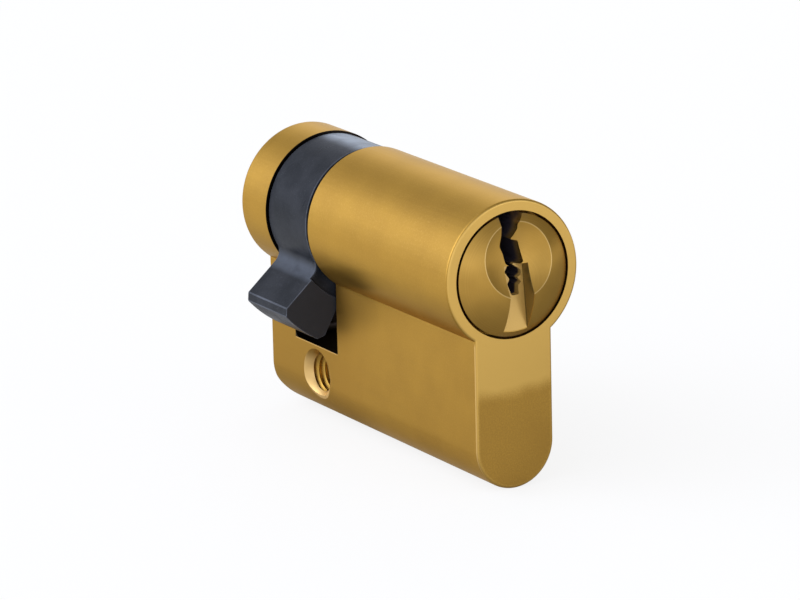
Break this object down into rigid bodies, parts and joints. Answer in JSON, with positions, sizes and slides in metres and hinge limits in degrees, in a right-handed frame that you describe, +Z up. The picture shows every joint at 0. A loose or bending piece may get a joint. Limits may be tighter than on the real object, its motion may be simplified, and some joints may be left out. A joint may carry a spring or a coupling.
{
  "type": "half euro cylinder",
  "caption": "Half profile lock cylinder: a brass body with a keyed plug in its front face, pin tumblers in the web below it, and a dark steel cam that turns in the rear slot.",
  "frame": {"origin": "centre of the M5 fixing screw hole, on the mid-plane of the web", "axes": "+Y along the plug's axis from the keyed face to the rear, +Z up from the web to the barrel, +X to the right as seen from the keyed face"},
  "size_m": [0.0199, 0.0475, 0.033],
  "materials": {
    "brass": "satin machined",
    "plug_brass": "turned",
    "cam_steel": "dark sintered, oiled",
    "driver_steel": "machined",
    "spring_steel": "drawn wire",
    "pin_steel": "turned",
    "nickel_silver": "turned"
  },
  "bodies": {
    "housing": {"housing": "brass", "chamber_plug_1": "brass", "chamber_plug_2": "brass", "chamber_plug_3": "brass", "chamber_plug_4": "brass", "chamber_plug_5": "brass", "pin_spring_1": "spring_steel", "pin_spring_2": "spring_steel", "pin_spring_3": "spring_steel", "pin_spring_4": "spring_steel", "pin_spring_5": "spring_steel"},
    "plug": {"plug": "plug_brass", "retaining_ring": "spring_steel", "cam": "cam_steel", "cam_driver": "driver_steel"},
    "key_pin_1": {"key_pin_1": "nickel_silver"},
    "key_pin_2": {"key_pin_2": "nickel_silver"},
    "key_pin_3": {"key_pin_3": "nickel_silver"},
    "key_pin_4": {"key_pin_4": "nickel_silver"},
    "key_pin_5": {"key_pin_5": "nickel_silver"},
    "driver_pin_1": {"driver_pin_1": "pin_steel"},
    "driver_pin_2": {"driver_pin_2": "pin_steel"},
    "driver_pin_3": {"driver_pin_3": "pin_steel"},
    "driver_pin_4": {"driver_pin_4": "pin_steel"},
    "driver_pin_5": {"driver_pin_5": "pin_steel"}
  },
  "joints": [
    {"name": "plug_turn", "type": "hinge", "parent": "housing", "child": "plug", "pos_m": [0, 0, 0.0188], "axis": [0, 1, 0], "continuous": true},
    {"name": "key_pin_1_lift", "type": "slide", "parent": "plug", "child": "key_pin_1", "axis": [0, 0, 1], "range_m": [0, 0.002]},
    {"name": "key_pin_2_lift", "type": "slide", "parent": "plug", "child": "key_pin_2", "axis": [0, 0, 1], "range_m": [0, 0.002]},
    {"name": "key_pin_3_lift", "type": "slide", "parent": "plug", "child": "key_pin_3", "axis": [0, 0, 1], "range_m": [0, 0.002]},
    {"name": "key_pin_4_lift", "type": "slide", "parent": "plug", "child": "key_pin_4", "axis": [0, 0, 1], "range_m": [0, 0.002]},
    {"name": "key_pin_5_lift", "type": "slide", "parent": "plug", "child": "key_pin_5", "axis": [0, 0, 1], "range_m": [0, 0.002]},
    {"name": "driver_pin_1_press", "type": "slide", "parent": "housing", "child": "driver_pin_1", "axis": [0, 0, 1], "range_m": [-0.002, 0], "stiffness_N_per_m": 100, "springref_m": 0.004, "deforming": ["pin_spring_1"]},
    {"name": "driver_pin_2_press", "type": "slide", "parent": "housing", "child": "driver_pin_2", "axis": [0, 0, 1], "range_m": [-0.002, 0], "stiffness_N_per_m": 100, "springref_m": 0.004, "deforming": ["pin_spring_2"]},
    {"name": "driver_pin_3_press", "type": "slide", "parent": "housing", "child": "driver_pin_3", "axis": [0, 0, 1], "range_m": [-0.002, 0], "stiffness_N_per_m": 100, "springref_m": 0.004, "deforming": ["pin_spring_3"]},
    {"name": "driver_pin_4_press", "type": "slide", "parent": "housing", "child": "driver_pin_4", "axis": [0, 0, 1], "range_m": [-0.002, 0], "stiffness_N_per_m": 100, "springref_m": 0.004, "deforming": ["pin_spring_4"]},
    {"name": "driver_pin_5_press", "type": "slide", "parent": "housing", "child": "driver_pin_5", "axis": [0, 0, 1], "range_m": [-0.002, 0], "stiffness_N_per_m": 100, "springref_m": 0.004, "deforming": ["pin_spring_5"]}
  ]
}
